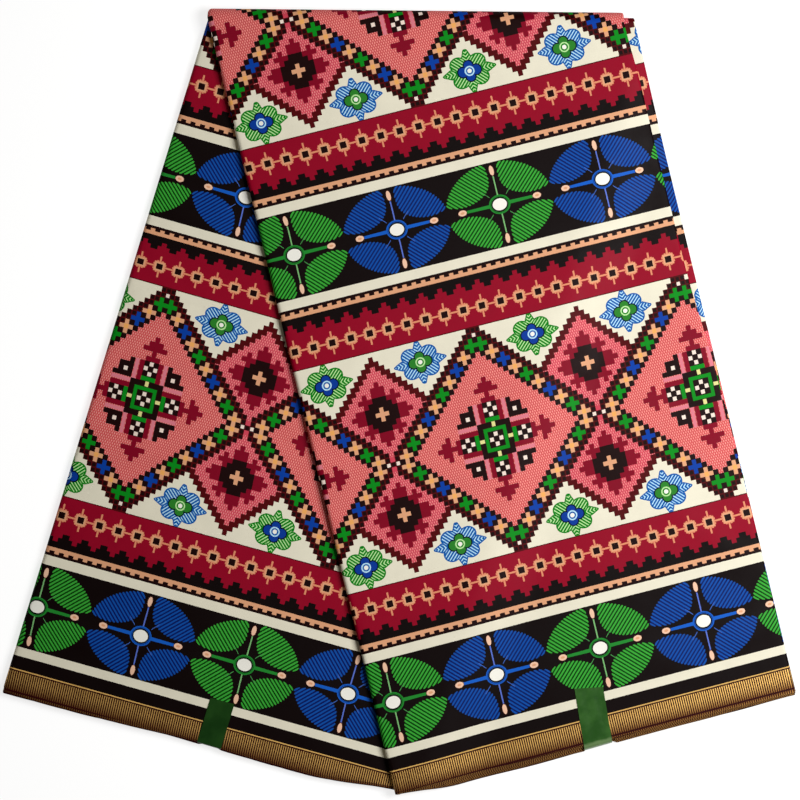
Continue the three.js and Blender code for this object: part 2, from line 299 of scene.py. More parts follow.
# The cloth was pulled a little unevenly as it was folded, so its print drifts off a straight
# grid. V, then how far it drifts along, its stretch, how far it rises and its tilt, with the
# stretch and the tilt in per cent, measured from the middle of the flap. These numbers weren't
# chosen by hand: nearly all of them are rounded from a least-squares fit by another script.
FRONT_PULL = (
    (0, 0.0, -1.1, 0.1, 0.0),
    (120, 0.2, -0.8, 0.4, 0.6),
    (170, 1.2, -0.5, 0.2, 0.9),
    (210, 0.8, -0.2, 0.0, 0.95),
    (255, -0.1, -0.1, 0.3, 1.0),
    (300, -0.3, 0.1, 0.5, 0.9),
    (350, -1.2, 0.1, 1.1, 1.2),
    (400, -3.0, 0.1, 1.5, 1.4),
    (445, -2.7, 0.4, 2.8, 1.6),
    (490, -0.9, -0.5, 2.3, 1.4),
    (540, 0.0, -1.3, 1.0, 0.9),
)
BACK_PULL = (
    (0, -1.4, -1.2, -3.5, 0.3),
    (70, -1.2, -1.6, -2.8, 0.4),
    (120, -3.1, -2.0, -2.8, 0.3),
    (165, -4.4, -1.8, -3.3, 0.0),
    (210, -3.7, -2.0, -3.5, -0.2),
    (260, -2.9, -1.7, -3.4, 0.6),
    (300, -3.6, -1.6, -3.2, 0.9),
    (350, -3.0, -1.6, -2.7, 0.8),
    (375, -3.0, -1.6, 0.4, 0.8),
    (405, -3.0, -1.6, 1.5, 0.8),
)
FRONT_PRINT = {
    "pull": FRONT_PULL,
    "middle": 195.0,
    "origin": Vector((-4.83, -306.5)),
    "along": Vector((math.cos(math.radians(14.7)), math.sin(math.radians(14.7)))),
    "up": Vector((-math.sin(math.radians(13.3)), math.cos(math.radians(13.3)))),
    "start": 17.8,
    "turned": 1,
}
BACK_PRINT = {
    "pull": BACK_PULL,
    "middle": 78.0,
    "origin": Vector((-310.3, -228.5)),
    "along": Vector((math.cos(math.radians(15.4)), -math.sin(math.radians(15.4)))),
    "up": Vector((math.sin(math.radians(13.2)), math.cos(math.radians(13.2)))),
    "start": 10.6,
    "turned": -1,
}


def pull_at(table, v):
    for low, high in zip(table, table[1:]):
        if v < high[0]:
            share = max((v - low[0]) / (high[0] - low[0]), 0)
            return [mix(first, second, share) for first, second in zip(low[1:], high[1:])]
    return table[-1][1:]


def print_place(design, flat):
    """U and V of a place on the opened-out leaf."""
    along, up = design["along"], design["up"]
    off = flat - design["origin"]
    scale = along.x * up.y - along.y * up.x
    u = (off.x * up.y - off.y * up.x) / scale
    v = (off.y * along.x - off.x * along.y) / scale
    drift, stretch, rise, tilt = pull_at(design["pull"], v)
    aside = (u - design["middle"]) / 100
    u, v = u + drift + stretch * aside, v + rise + tilt * aside
    return (u - design["start"]) * design["turned"], v


def opened_out(home, leg, share, across, height, place):
    """The place of a leaf's point when the fold at the crease is opened out."""
    radius = height * (1 + CREASE_SWELL)
    if leg == home:
        return place
    if leg == "turn":
        angle = share * math.pi if home == "front" else (1 - share) * math.pi
        return axis_point(across) + crease_out * radius * angle
    return mirrored(place) + crease_out * radius * math.pi


DESIGNS = {"front": FRONT_PRINT, "back": BACK_PRINT}


def far_v(home, leg, share, across, height):
    """Past the crease, V is spread so that the leaf ends on its other selvedge."""
    at_crease = 0 if leg == "front" else 1
    place, _ = turn_spot(at_crease, across, height)
    flat = opened_out(home, "turn", at_crease, across, height, place)
    return mix(print_place(DESIGNS[home], flat)[1], CLOTH_WIDTH, share)


def spot(home, leg, share, section_point):
    """World place in millimetres, and U and V on the cloth, of one point of a leaf."""
    unrolled, at, height = section_point
    place, level = SPOTS[leg](share, at / STRIP, height)
    flat_place = place
    if unrolled != at:
        flat_place, _ = SPOTS[leg](share, unrolled / STRIP, height)
    flat = opened_out(home, leg, share, unrolled / STRIP, height, flat_place)
    u, v = print_place(DESIGNS[home], flat)
    if leg not in (home, "turn"):
        v = far_v(home, leg, share, unrolled / STRIP, height)
    return (place.x, place.y, level), (u, v)


# %% [markdown]
# ## Laying a leaf
#
# A leaf of cloth starts as a plain grid. Its columns run across the pile along a section
# line, its rows run down the flap, and each point of the grid is put in its place. The
# Solidify modifier then gives it the thickness of cotton. The grid gets two UV maps: one
# for the design, in metres of cloth, and one that spreads the shown side over a square.

# %% A grid laid point by point
INNER_STRIP = 0.04  # share of the square that is left for the unseen side


def deselect():
    if bpy.context.object and bpy.context.object.mode != "OBJECT":
        bpy.ops.object.mode_set(mode="OBJECT")
    bpy.ops.object.select_all(action="DESELECT")


def running_length(points):
    lengths = [0.0]
    for first, second in zip(points, points[1:]):
        lengths.append(lengths[-1] + (Vector(second) - Vector(first)).length)
    return [value / lengths[-1] for value in lengths]


def lay_grid(name, grid):
    """A grid whose rows are lists of (place, print place), all of one length."""
    rows, columns = len(grid), len(grid[0])
    deselect()
    bpy.ops.mesh.primitive_grid_add(x_subdivisions=columns - 1, y_subdivisions=rows - 1, size=1)
    piece = bpy.context.object
    piece.name = piece.data.name = name
    mesh = piece.data
    points = [point for row in grid for point in row]
    mesh.vertices.foreach_set("co", [c * MM for place, _ in points for c in place])
    across = running_length([place for place, _ in grid[rows // 2]])
    down = running_length([row[columns // 2][0] for row in grid])
    corner = [0] * len(mesh.loops)
    mesh.loops.foreach_get("vertex_index", corner)
    while mesh.uv_layers:
        mesh.uv_layers.remove(mesh.uv_layers[0])
    bake = mesh.uv_layers.new(name="OFBake")
    design = mesh.uv_layers.new(name="print")
    floor = INNER_STRIP * 1.2
    bake.data.foreach_set("uv", [
        c for i in corner for c in (across[i % columns], mix(floor, 1, down[i // columns]))])
    design.data.foreach_set("uv", [c * MM for i in corner for c in points[i][1]])
    mesh.update()
    return piece


# %% Thickness, and a smooth finish
def thicken(piece, thickness, inward=True):
    """Gives a grid its wall. The faces of the far side are moved to a strip of the bake map."""
    shown = len(piece.data.polygons)
    wall = piece.modifiers.new("wall", "SOLIDIFY")
    wall.thickness = thickness * MM
    wall.offset = -1 if inward else 1
    wall.use_even_offset = True
    deselect()
    bpy.context.view_layer.objects.active = piece
    piece.select_set(True)
    bpy.ops.object.modifier_apply(modifier=wall.name)
    mesh = piece.data
    bake = mesh.uv_layers["OFBake"].data
    for face in mesh.polygons[shown:shown * 2]:
        for loop in face.loop_indices:
            u, v = bake[loop].uv
            bake[loop].uv = (u, v * INNER_STRIP)
    bpy.ops.object.shade_smooth_by_angle(angle=math.radians(50))
    return piece


def face_up(piece, outward):
    """Turns a grid so that the face furthest the way outward points also looks that way.
    Any other face may lie on a tucked-in part, which looks the other way."""
    mesh = piece.data
    way = Vector(outward)
    furthest = max(mesh.polygons, key=lambda face: face.center.dot(way))
    if furthest.normal.dot(way) < 0:
        mesh.flip_normals()
    return piece


# %% [markdown]
# ## Rows down the cloth
#
# Rows are closer together at the crease, where the cloth turns sharply, and about four
# millimetres apart on the flaps, which is fine enough for the soft creases.

# %% Rows
FRONT_ROWS, BACK_ROWS, TURN_ROWS = 150, 140, 14


def rows_down(leg, count, first=0.0, last=1.0):
    return [(leg, mix(first, last, step / count)) for step in range(count + 1)]


def turn_rows(first, last):
    return rows_down("turn", TURN_ROWS, first, last)


def spread(first, last, count):
    """Evenly spaced numbers from first to last."""
    return [mix(first, last, i / count) for i in range(count + 1)]


ARC_STEPS = 12
FACE_COLUMNS, UNDER_COLUMNS = 84, 50


def closed_edge(height_off, turned=1):
    """Section points round the closed edge, from the far side to the face (turned 1) or back."""
    radius = EDGE - height_off
    points = []
    for step in range(ARC_STEPS):
        angle = math.pi * (1 - step / ARC_STEPS)
        across = EDGE - radius * math.sin(angle)
        points.append((EDGE - radius * angle, across, MIDDLE + turned * radius * math.cos(angle)))
    return points


def fold_edge(right, top, bottom, tuck):
    """Section points of a fold at the open edge: over, down, and back underneath."""
    radius = (top - bottom) / 2
    centre = right - radius
    points = []
    for step in range(1, ARC_STEPS + 1):
        angle = math.pi * step / ARC_STEPS
        across = centre + radius * math.sin(angle)
        points.append((centre + radius * angle, across, mix(top, bottom, 0.5) + radius * math.cos(angle)))
    points.append((centre + radius * math.pi + tuck, centre - tuck, bottom))
    return points


def outer_section(leg, share):
    """Closed edge, face and upper folds of the leaf that lies on the front flap."""
    width = from_table(LEDGE, share) if leg == "front" else LEDGE[0][1]
    right = STRIP - width
    face = [(at, at, OUTER) for at in spread(EDGE, right - FOLD, FACE_COLUMNS)]
    return closed_edge(0) + face + fold_edge(right, OUTER, MIDDLE + GAP / 2, 5)


print("section of the top leaf has", len(outer_section("front", 0.5)), "points")

# %% [markdown]
# ## Numbers in a material
#
# The print is drawn by nodes, so it stays sharp however close the camera comes. Writing
# hundreds of Math nodes by hand is hard to read. The small class below makes one node for
# each sum or comparison, so that the design can be written as plain arithmetic.

# %% Arithmetic that makes Math nodes
class Reading:
    """A number that is worked out at every point of a surface."""

    def __init__(self, tree, socket):
        self.tree, self.socket = tree, socket

    def math(self, operation, *others, clamp=False):
        node = self.tree.nodes.new("ShaderNodeMath")
        node.operation, node.use_clamp = operation, clamp
        for place, value in enumerate((self, *others)):
            if isinstance(value, Reading):
                self.tree.links.new(value.socket, node.inputs[place])
            else:
                node.inputs[place].default_value = value
        return Reading(self.tree, node.outputs[0])

    def __add__(self, other):
        return self.math("ADD", other)

    def __sub__(self, other):
        return self.math("SUBTRACT", other)

    def __mul__(self, other):
        return self.math("MULTIPLY", other)

    def __truediv__(self, other):
        return self.math("DIVIDE", other)

    def __lt__(self, other):
        return self.math("LESS_THAN", other)

    def __gt__(self, other):
        return self.math("GREATER_THAN", other)

    def __and__(self, other):
        return self.math("MULTIPLY", other)

    def __or__(self, other):
        return self.math("MAXIMUM", other)

    def size(self):
        return self.math("ABSOLUTE")

    def whole(self):
        return self.math("ROUND")

    def within(self, low, high):
        """1 from low to high, and 0 outside."""
        return self.math("COMPARE", (low + high) / 2, (high - low) / 2)

    def cell(self, low, high=None):
        """1 where a whole number is from low to high."""
        high = low if high is None else high
        return self.within(low - 0.4, high + 0.4)

    def repeat(self, length):
        """Goes from minus half a length to plus half a length, over and over."""
        return self.math("WRAP", length / 2, -length / 2)

    def back_and_forth(self, length):
        return self.math("PINGPONG", length)

    def power(self, exponent):
        return self.math("POWER", exponent)


def away(x, y):
    """Distance from the point where both readings are zero."""
    return (x * x + y * y).math("SQRT")


def oval(x, y, half_x, half_y):
    return away(x / half_x, y / half_y) < 1


print("arithmetic ready")


# %% [markdown]
# ## Colours
#
# Colours are given as they look on a screen, and turned into the linear numbers that
# Blender reckons in. A `Painter` keeps the colour so far and lays the next one over it
# wherever a mask is 1, as a printer lays one ink over another.

# %% Inks
SHINE = 0.006  # the gloss of the cloth adds this much white of its own


def ink(red, green, blue):
    parts = [c / 255 for c in (red, green, blue)]
    linear = [c / 12.92 if c < 0.04045 else ((c + 0.055) / 1.055) ** 2.4 for c in parts]
    return (*[max(c - SHINE, 0.0005) for c in linear], 1)


CREAM = ink(238, 232, 210)
CRIMSON = ink(150, 2, 42)
WINE = ink(134, 0, 40)
SALMON = ink(216, 86, 87)
SALMON_DOT = ink(246, 167, 158)
PINK = ink(214, 74, 92)
PINK_DOT = ink(243, 154, 150)
PINK_BAR = ink(226, 128, 142)
MAROON = ink(84, 6, 22)
UMBER = ink(34, 12, 12)
BLACK = ink(25, 18, 19)
GREEN = ink(16, 142, 34)
BLUE = ink(12, 66, 164)
PEACH = ink(230, 168, 128)
PEACH_RED = ink(230, 146, 110)
PEACH_TIP = ink(248, 202, 172)
PALE = ink(248, 228, 214)
LEMON = ink(232, 226, 150)
LEAF_GREEN, LEAF_GREEN_DARK = ink(62, 172, 60), ink(6, 66, 18)
PETAL_BLUE, PETAL_BLUE_DARK = ink(24, 82, 170), ink(10, 30, 96)
ROSE_GREEN, ROSE_GREEN_PALE = ink(8, 130, 28), ink(190, 238, 164)
ROSE_BLUE, ROSE_BLUE_PALE = ink(0, 92, 172), ink(188, 232, 252)
GOLD, GOLD_BROWN = ink(226, 180, 104), ink(52, 16, 8)
WHITE = ink(252, 250, 240)


class Painter:
    def __init__(self, tree, first):
        self.tree = tree
        base = tree.nodes.new("ShaderNodeRGB")
        base.outputs[0].default_value = first
        self.colour = base.outputs[0]

    def lay(self, mask, colour):
        """Lays a colour, or another painter's colour, where the mask is 1."""
        node = self.tree.nodes.new("ShaderNodeMix")
        node.data_type = "RGBA"
        self.tree.links.new(mask.socket, node.inputs[0])
        self.tree.links.new(self.colour, node.inputs[6])
        if isinstance(colour, tuple):
            node.inputs[7].default_value = colour
        else:
            self.tree.links.new(colour.colour, node.inputs[7])
        self.colour = node.outputs[2]
        return self


def either(tree, mask, one, other):
    """A painter that holds one colour where the mask is 1, and the other elsewhere."""
    return Painter(tree, other).lay(mask, one)


# %% [markdown]
# ## The design
#
# The design is drawn in steps of 0.78 mm. Across the stripes it is a mirror image about
# the middle of each flower band and about the middle of each row of lozenges, 228.5 steps
# apart, so one folded coordinate serves for the whole width. Along the stripes it repeats
# every 212 steps. The lozenges are cross-stitch work: small cells, 44 to a repeat and 45
# to a row, whose colour depends on how many cells they are from the middle.

# %% Layout of the stripes, in steps from the middle of a flower band
STEP = 0.78  # millimetres
REPEAT, HALF_ROW, FLOWERS_AT = 212.0, 228.5, 88.5
FLOWER_PITCH = REPEAT / 2
CELL_U, CELL_V = REPEAT / 44, HALF_ROW * 2 / 90
FLOWER_BAND, CREAM_TO, DARK_TO, TOOTH_TO, PEACH_TO = 43.5, 53.2, 56.0, 58.6, 62.2
STAIR_LOW, STAIR_STEP, RED_TO, CHAIN_AT = 68.5, 4.3, 114.3, 95.0
# SELVEDGE_PAINTED_SHADE: the gold comb stops this many steps short of the edge, which stays dark brown,
# partly as the hem's own colour and partly as painted shade.
SELVEDGE_BLACK, SELVEDGE_LINE, SELVEDGE_COMB, SELVEDGE_PAINTED_SHADE = 36.0, 22.9, 20.3, 0.9
COMB_PITCH = 2.24


def draw_flowers(tree, paint, u, w):
    """Four hatched petals, four stamens with buds and a white eye, green and blue by turns."""
    order = (u / FLOWER_PITCH).whole()
    x = u - order * FLOWER_PITCH
    is_blue = (order / 2).math("FRACT").size().within(0.25, 0.75)
    p = x.size()
    outer = (away(p / 54, w / 43.5) - 1) * 44
    left = away(p - 45.5, w - 31) - 40
    lower = away(p - 36, w - 45.5) - 40
    edge = outer.math("SMOOTH_MAX", left, 5).math("SMOOTH_MAX", lower, 5)
    hatch = (p - w) * 0.707
    stroke = hatch.back_and_forth(1.62) / 1.62
    light = either(tree, is_blue, PETAL_BLUE, LEAF_GREEN)
    dark = either(tree, is_blue, PETAL_BLUE_DARK, LEAF_GREEN_DARK)
    comb_edge = edge + stroke * 1.3
    paint.lay(comb_edge < 0.6, light)
    paint.lay((comb_edge < 0.6) & (stroke > 0.54), dark)
    mid = either(tree, is_blue, ink(28, 96, 200), ink(40, 140, 52))
    taper = p * -0.018 + 2.0
    paint.lay((w < taper) & (p < 36), mid)
    paint.lay((p < 0.65) & (w < 32), either(tree, is_blue, ink(96, 120, 214), ink(128, 190, 120)))
    ray = (p - w * 0.94).size() < 0.45
    paint.lay(ray & p.within(8.5, 15), either(tree, is_blue, ink(70, 110, 200), ink(80, 160, 84)))
    bud = (p - 38.3) / 4.7
    paint.lay(away(bud, w / 3.5) < 1, ink(60, 22, 18))
    paint.lay(away((p - 38.3) / 4.2, w / 3.0) < 1, PEACH_TIP)
    paint.lay(away((p - 38.3) / 2.0, w / 1.2) < 1, PEACH)
    paint.lay(away(p / 2.9, (w - 35.4) / 5.8) < 1, ink(60, 22, 18))
    paint.lay(away(p / 2.2, (w - 35.4) / 5.0) < 1, PEACH_TIP)
    ring = away(x / 10.8, w / 9.9)
    paint.lay(ring < 1, mid)
    paint.lay(ring.within(0.84, 0.88), either(tree, is_blue, PETAL_BLUE_DARK, LEAF_GREEN_DARK))
    paint.lay(ring < 0.79, ink(14, 14, 18))
    paint.lay(oval(x, w, 7.2, 6.1), WHITE)


def draw_chain(paint, u, w):
    """A chain of notched squares with dark eyes, small links and ticks."""
    x = u.repeat(CELL_U * 4).size()
    y = (w - CHAIN_AT).size()
    paint.lay(y < 0.9, PEACH_RED)
    paint.lay((x < 0.9) & (y < 11.6), PEACH_RED)
    far, near = x.math("MAXIMUM", y), x.math("MINIMUM", y)
    notched = (far < 5.6) | ((far < 6.5) & near.within(1.5, 3.4))
    paint.lay(notched & ((x + y) < 10.6), PEACH_RED)
    paint.lay(far < 4.7, PEACH)
    paint.lay(far < 3.2, UMBER)


def draw_stripes(tree, paint, u, w):
    """Everything from the flower band to the edge of the lozenge row."""
    paint.lay(w < RED_TO, MAROON)
    paint.lay(w < RED_TO - 1.0, CRIMSON)
    draw_chain(paint, u, w)
    out = (u + CELL_U * 2).repeat(CELL_U * 4).size() / CELL_U
    stair = (out > 0.75) + (out > 1.5)
    paint.lay(w < stair * -STAIR_STEP + (STAIR_LOW + 2 * STAIR_STEP), BLACK)
    paint.lay(w < PEACH_TO, PEACH)
    tooth = u.repeat(CELL_U * 2).size() < 2.6
    paint.lay((w < TOOTH_TO) & tooth, UMBER)
    paint.lay(w < DARK_TO, UMBER)
    paint.lay(w < CREAM_TO, CREAM)
    paint.lay(w < FLOWER_BAND, BLACK)
    draw_flowers(tree, paint, u, w)


print("stripes:", FLOWER_BAND, CREAM_TO, PEACH_TO, RED_TO)


# %% The lozenges and their medallions
def draw_medallion(paint, a, b, c, r):
    """The stitched star in a big lozenge. It is the same four ways, so the larger and the
    smaller of the two cell counts are all that it needs."""
    hi, lo = c.math("MAXIMUM", r), c.math("MINIMUM", r)
    off_a, off_b = (a - c).size(), (b - r).size()
    dot = (off_a < 0.4) & (off_b < 0.4)
    slim_lo = ((c < r) & (off_a < 0.36)) | ((r < c) & (off_b < 0.36))
    slim_hi = ((r < c) & (off_a < 0.42)) | ((c < r) & (off_b < 0.42))
    paint.lay(hi.cell(4, 7) & lo.cell(3) & slim_lo, PINK_BAR)
    block = (hi.cell(4, 6) & lo.cell(4, 6)) | (hi.cell(7) & lo.cell(4))
    paint.lay(block, UMBER)
    paint.lay(hi.cell(5) & lo.cell(5) & dot, PALE)
    club = (hi.cell(8) | hi.cell(10, 11)) & lo.cell(0, 1)
    club = club | (hi.cell(9, 12) & lo.cell(0)) | (hi.cell(10) & lo.cell(2))
    paint.lay(club | (hi.cell(4, 7) & lo.cell(2)), WINE)
    paint.lay((hi.cell(0, 7) & lo.cell(0, 1)) | (hi.cell(0, 3) & lo.cell(0, 3)), UMBER)
    ring = (a.math("MAXIMUM", b) - 2.0).size() < 0.36
    paint.lay(ring | (hi.cell(4) & lo.cell(0, 1) & slim_hi), GREEN)
    paint.lay(lo.cell(0) & hi.cell(3) & slim_lo, LEMON)
    pale = (lo.cell(0) & (hi.cell(1) | hi.cell(5) | hi.cell(7))) | (lo.cell(1) & hi.cell(6))
    paint.lay(pale & dot, PALE)


def draw_star(paint, c, r):
    """The small star in a small lozenge."""
    hi, lo = c.math("MAXIMUM", r), c.math("MINIMUM", r)
    arms = (hi.cell(0, 5) & lo.cell(0, 1)) | (hi.cell(6) & lo.cell(0))
    paint.lay(arms | (hi.cell(0, 3) & lo.cell(2, 3)) | (hi.cell(4) & lo.cell(3)), WINE)
    paint.lay((hi.cell(0, 3) & lo.cell(0, 1)) | (hi.cell(2) & lo.cell(2)), UMBER)


def draw_crosses(tree, paint, a, b):
    """Small crosses along the edge of a big lozenge: green, peach, blue, peach."""
    order = ((a - b + 20) / 4 - 0.5).whole().math("MINIMUM", 9.0).math("MAXIMUM", 0.0)
    x = (a - (order * 2 + 1)).size()
    y = (b - (order * -2 + 19)).size()
    cross = ((x < 0.42) & (y < 1.4)) | ((y < 0.42) & (x < 1.4))
    turn = (order / 4).math("FRACT")
    colour = Painter(tree, PEACH).lay(turn < 0.1, GREEN).lay(turn.within(0.45, 0.55), BLUE)
    paint.lay(cross, colour)
    paint.lay(cross & (x < 0.45) & (y < 0.45) & colour_is_peach(turn), ink(246, 176, 100))


def colour_is_peach(turn):
    return turn.within(0.2, 0.3) | turn.within(0.7, 0.8)


def stitched(paint, inside, a, b, ground, dots):
    """Cotton ground with fine paler dots, as cross-stitch canvas is drawn."""
    fleck = (a * 2.0 + b).repeat(1.0).size() & (a * 2.0 - b).repeat(1.0).size()
    paint.lay(inside, ground)
    paint.lay(inside & (fleck > 0.09), dots)


def draw_rosette(tree, paint, x, y, is_green):
    """A rosette of eight petals with a small flower of the other colour on it."""
    p, q = x.size(), y.size()
    line = either(tree, is_green, ROSE_GREEN, ROSE_BLUE)
    pale = either(tree, is_green, ROSE_GREEN_PALE, ROSE_BLUE_PALE)
    wide = away(p - 9.6, (q - 7.9) * 1.12) - 8.8
    side = (q + (p - 18.5).size() * 0.5 - 5.2).math("SMOOTH_MAX", p - 27.2, 2)
    tall = (p + (q - 13.5).size() * 0.42 - 5.4).math("SMOOTH_MAX", q - 22.0, 2)
    petals = wide.math("MINIMUM", side).math("MINIMUM", tall)
    paint.lay(petals < 0, line)
    strokes = ((p - q) * 0.707).back_and_forth(1.35)
    paint.lay((wide < -1.5) & (strokes < 0.5), pale)
    chevron = (p - q * 0.9).back_and_forth(1.8)
    paint.lay((side < -1.3) & (p > 14) & (chevron < 0.66), pale)
    chevron = (q - p * 0.9).back_and_forth(1.8)
    paint.lay((tall < -1.3) & (q > 11) & (chevron < 0.66), pale)
    heart = (away(p - 6.6, q) - 5.4).math("MINIMUM", away(p, q - 5.6) - 5.0)
    centre = either(tree, is_green, ink(16, 62, 156), ink(48, 132, 46))
    paint.lay(heart < 0.5, ink(8, 22, 40))
    paint.lay(heart < -0.7, centre)
    eye = away(x, y)
    paint.lay(eye < 4.9, either(tree, is_green, ROSE_BLUE_PALE, ROSE_GREEN_PALE))
    paint.lay(eye < 3.6, either(tree, is_green, ROSE_BLUE, ROSE_GREEN))
    paint.lay(eye < 2.2, WHITE)


def draw_lozenges(tree, paint, u, z):
    """The row of lozenges, from u along the stripes and z, the distance from its middle."""
    across = (u - REPEAT * 0.75).repeat(REPEAT)
    a, b = across.size() / CELL_U, z / CELL_V
    c, r = a.whole(), b.whole()
    rings = c + r
    in_row = b < 22.6
    from_crossing = a * -1 + 22
    c2, b2 = from_crossing.whole(), (b - 10.15).size()
    r2 = b2.whole()
    small = c2 + r2
    x = across.size() - CELL_U * 12
    draw_rosette(tree, paint, x, z - CELL_V * 18.35, across > 0)
    paint.lay(small < 11.5, MAROON)
    stitched(paint, small < 9.5, a, b, PINK, PINK_DOT)
    draw_star(paint, c2, r2)
    plus = (from_crossing.size() < 0.42) & (b2 < 1.4) | (b2 < 0.42) & (from_crossing.size() < 1.4)
    paint.lay(plus, PEACH)
    bead = ((a - c).size() < 0.36) & ((b - r).size() < 0.36)
    paint.lay(rings.cell(22, 23) & in_row, MAROON)
    paint.lay(rings.cell(22, 23) & in_row & bead, UMBER)
    paint.lay(rings.cell(0, 21) & in_row, UMBER)
    stitched(paint, rings.cell(0, 17), a, b, SALMON, SALMON_DOT)
    draw_medallion(paint, a, b, c, r)
    draw_crosses(tree, paint, a, b)
    paint.lay(c.cell(22) & r.cell(1), PINK)
    tip = (c.cell(21) & r.cell(0)) | (c.cell(0) & r.cell(21))
    paint.lay(tip & bead, PALE)


print("cells are", round(CELL_U * STEP, 2), "by", round(CELL_V * STEP, 2), "mm")


# %% The selvedge
def draw_selvedge(tree, paint, u, edge):
    """Black hem, a gold line and a comb of gold lines that turns brown towards the very edge and stops
    short of it. The brown edge is partly the hem's own colour and partly painted shade.
    """
    paint.lay(edge < SELVEDGE_BLACK, BLACK)
    paint.lay(edge < SELVEDGE_LINE, GOLD)
    paint.lay(edge < SELVEDGE_LINE - 1.2, GOLD_BROWN)
    comb = u.back_and_forth(COMB_PITCH / 2) < COMB_PITCH * 0.22
    teeth = comb & edge.within(SELVEDGE_PAINTED_SHADE, SELVEDGE_COMB)
    # The comb fades from gold to brown towards the edge: partly the hem's own colour, partly painted
    # shade.
    fade = (edge / 12.0).math("MINIMUM", 1.0)
    gold = Painter(tree, ink(110, 66, 34)).lay(fade, GOLD)
    paint.lay(teeth, gold)
    return teeth


# %% [markdown]
# ## Printed cotton
#
# Wax print is a plain weave of fine cotton, dyed through so that both faces show the
# design, and pressed to a soft shine. The material puts the design together, breaks its
# colours up a little as ink on thread is, gives the gold lines a metal sheen, and raises the
# threads as a faint bump.

# %% The cotton material
THREAD = 0.36  # millimetres from one thread to the next


def noise(tree, vector, scale, detail):
    node = tree.nodes.new("ShaderNodeTexNoise")
    node.inputs["Scale"].default_value = scale
    node.inputs["Detail"].default_value = detail
    tree.links.new(vector, node.inputs["Vector"])
    return Reading(tree, node.outputs["Fac"])


def new_material(name):
    material = bpy.data.materials.new(name)
    material.use_nodes = True
    tree = material.node_tree
    return material, tree, tree.nodes["Principled BSDF"]


def printed_cotton(name, shade=1.0):
    material, tree, shader = new_material(name)
    where = tree.nodes.new("ShaderNodeUVMap")
    where.uv_map = "print"
    split = tree.nodes.new("ShaderNodeSeparateXYZ")
    tree.links.new(where.outputs[0], split.inputs[0])
    u_mm = Reading(tree, split.outputs[0]) / MM
    v_mm = Reading(tree, split.outputs[1]) / MM
    wobble = noise(tree, where.outputs[0], 900, 2) - 0.5
    u = u_mm / STEP + wobble * 0.5
    v = v_mm / STEP + wobble * 0.5
    edge = v.back_and_forth(CLOTH_WIDTH / STEP / 2)
    w = (v - FLOWERS_AT).back_and_forth(HALF_ROW)
    paint = Painter(tree, CREAM)
    draw_lozenges(tree, paint, u, w * -1 + HALF_ROW)
    draw_stripes(tree, paint, u, w)
    gilded = draw_selvedge(tree, paint, u, edge)
    tree.links.new((gilded * 0.8).socket, shader.inputs["Metallic"])

    mottle = noise(tree, where.outputs[0], 60, 4)
    fine = noise(tree, where.outputs[0], 1400, 2)
    # A shade below 1 darkens the whole material: painted shade, used by the darker copy below.
    value = mottle * 0.16 + fine * 0.12 + (shade - 0.14)
    tone = tree.nodes.new("ShaderNodeHueSaturation")
    tree.links.new(value.socket, tone.inputs["Value"])
    tree.links.new(paint.colour, tone.inputs["Color"])
    tree.links.new(tone.outputs[0], shader.inputs["Base Color"])

    warp = (u_mm / (THREAD / 2)).back_and_forth(1.0)
    weft = (v_mm / (THREAD / 2)).back_and_forth(1.0)
    weave = warp * weft + fine * 0.8
    bump = tree.nodes.new("ShaderNodeBump")
    bump.inputs["Strength"].default_value = 0.35
    bump.inputs["Distance"].default_value = 0.00006
    tree.links.new(weave.socket, bump.inputs["Height"])
    tree.links.new(bump.outputs[0], shader.inputs["Normal"])

    gloss = mottle * 0.22 + 0.40
    tree.links.new(gloss.socket, shader.inputs["Roughness"])
    slant = tree.nodes.new("ShaderNodeLayerWeight")
    slant.inputs["Blend"].default_value = 0.5
    faced = (Reading(tree, slant.outputs["Facing"]) * -1 + 1).math("MAXIMUM", 0.0)
    shader.inputs["Specular IOR Level"].default_value = 0.08
    tree.links.new((faced * faced * 0.08).socket, shader.inputs["Specular IOR Level"])
    print(name, "has", len(tree.nodes), "nodes")
    return material


cotton = printed_cotton("printed_cotton")
# The darker copy is painted shade for the pile's sides, the pressed leaves and the leaf ends.
shaded_edge_cotton = printed_cotton("printed_cotton_shaded_edges", 0.86)

# %% [markdown]
# ## Finishing a piece
#
# Every piece ends the same way: it gets its material, it rides on the object's one body,
# and it stands for its solid.

# %% Dressing a piece


def dress(piece, material, nodes):
    piece.data.materials.clear()
    piece.data.materials.append(material)
    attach(piece, "root")
    if nodes:
        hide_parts(*nodes)
    print(piece.name, len(piece.data.vertices), "points")


def leaf_grid(home, rows, section):
    return [[spot(home, leg, share, point) for point in section(leg, share)] for leg, share in rows]


# %% [markdown]
# ## The top leaf
#
# The leaf on the front flap shows most. It wraps the closed edge on the left, folds under
# at the open edge on the right, and goes over the crease at the top, where its end is
# tucked in behind.

# %% Top leaf of the front flap
OVERHANG = 2.8  # millimetres that the top leaf's end stands out
HANGS_OUT = OVERHANG / FRONT_CLOSED[2]
front_rows = rows_down("front", FRONT_ROWS, 1.0 + HANGS_OUT, 0.0) + turn_rows(0.0, 0.58)[1:]
front_leaf = lay_grid("front_leaf_cloth", leaf_grid("front", front_rows, outer_section))
face_up(front_leaf, (0, 0, 1))
thicken(front_leaf, LEAF)
dress(front_leaf, cotton, ["front_leaf"])

# %% [markdown]
# ## The leaf that shows on the back flap
#
# It is the innermost leaf of the pile: it was the underside before the pile was laid over
# its crease. It too wraps the closed edge, and it runs under the front flap.


# %% Top leaf of the back flap
def back_inset(leg, share):
    """The round of the closed edge slips in under the front leaf at the crease."""
    return 0.6 * (1 - smooth(share, 0.55, 0.75)) if leg == "turn" else 0.0


